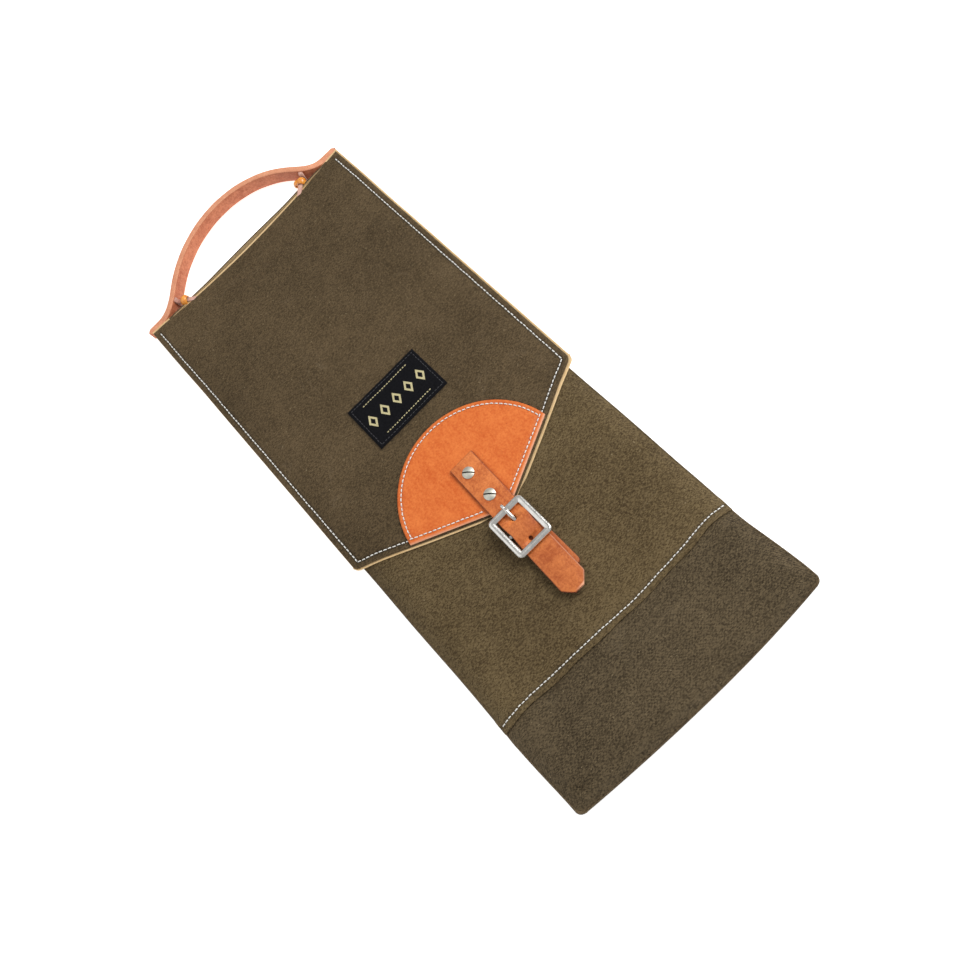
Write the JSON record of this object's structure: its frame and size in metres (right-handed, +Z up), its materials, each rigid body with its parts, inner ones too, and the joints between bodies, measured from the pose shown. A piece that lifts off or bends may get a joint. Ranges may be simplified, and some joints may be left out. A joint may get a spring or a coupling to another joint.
{
  "type": "flapped tool case",
  "caption": "Flat waxed-canvas tool case with a pointed buckled flap, a leather handle, and a lined pouch with an inner pocket.",
  "frame": {"origin": "centre of the whole outline, handle included, on the plane the back lies on", "axes": "+Y along the case towards the handle, +X across the case to the right seen from above, +Z up through the flap"},
  "size_m": [0.196, 0.522, 0.0221],
  "materials": {
    "waxed_canvas": "waxed cotton canvas, dull with a soft sheen, slightly creased",
    "tan_lining": "plain cotton twill, matte",
    "patch_leather": "vegetable-tanned, smooth, satin",
    "strap_leather": "vegetable-tanned, smooth, satin, darker with handling",
    "handle_leather": "natural russet, burnished edges, satin",
    "lace_leather": "thin latigo lace, dull",
    "label_weave": "woven damask tape, matte",
    "screw_nickel": "nickel plated, satin",
    "buckle_nickel": "nickel plated, satin with light tumbling marks",
    "bead_gloss": "opaque orange glass-like beads, glossy"
  },
  "bodies": {
    "case": {"back_panel": "waxed_canvas", "back_lining": "tan_lining", "inner_pocket": "tan_lining", "front_upper_panel": "waxed_canvas", "front_base_panel": "waxed_canvas", "front_lining": "tan_lining", "buckle_chape": "strap_leather", "handle_end_left": "handle_leather", "handle_end_right": "handle_leather"},
    "flap": {"flap_canvas": "waxed_canvas", "flap_lining": "tan_lining", "flap_patch": "patch_leather", "woven_label": "label_weave", "closure_strap": "strap_leather", "strap_post_upper": "screw_nickel", "strap_post_lower": "screw_nickel", "strap_screw_upper": "screw_nickel", "strap_screw_lower": "screw_nickel"},
    "buckle": {"buckle_frame": "buckle_nickel", "buckle_bar": "buckle_nickel"},
    "prong": {"buckle_prong": "buckle_nickel"},
    "handle": {"handle_strap": "handle_leather", "lace_left": "lace_leather", "lace_right": "lace_leather", "lace_end_bead": "bead_gloss"},
    "bead_left": {"bead_left": "bead_gloss"},
    "bead_right": {"bead_right": "bead_gloss"}
  },
  "joints": [
    {"name": "flap_hinge", "type": "hinge", "parent": "case", "child": "flap", "pos_m": [0, 0.2111, 0.0112], "axis": [-1, 0, 0], "range_deg": [0, 130], "deforming": ["closure_strap"]},
    {"name": "handle_swing", "type": "hinge", "parent": "case", "child": "handle", "pos_m": [0, 0.22, 0.0078], "axis": [1, 0, 0], "range_deg": [0, 30], "deforming": ["lace_left", "lace_right"]},
    {"name": "buckle_pivot", "type": "hinge", "parent": "case", "child": "buckle", "pos_m": [-0.003, -0.1122, 0.01325], "axis": [1, 0, 0], "range_deg": [0, 10], "deforming": ["closure_strap"]},
    {"name": "prong_pivot", "type": "hinge", "parent": "buckle", "child": "prong", "pos_m": [-0.003, -0.1122, 0.01325], "axis": [1, 0, 0], "range_deg": [0, 90], "deforming": ["closure_strap"]},
    {"name": "bead_left_slide", "type": "slide", "parent": "handle", "child": "bead_left", "axis": [0.7431, -0.6691, 0], "range_m": [0, 0.002]},
    {"name": "bead_right_slide", "type": "slide", "parent": "handle", "child": "bead_right", "axis": [-0.7431, -0.6691, 0], "range_m": [0, 0.002]}
  ]
}
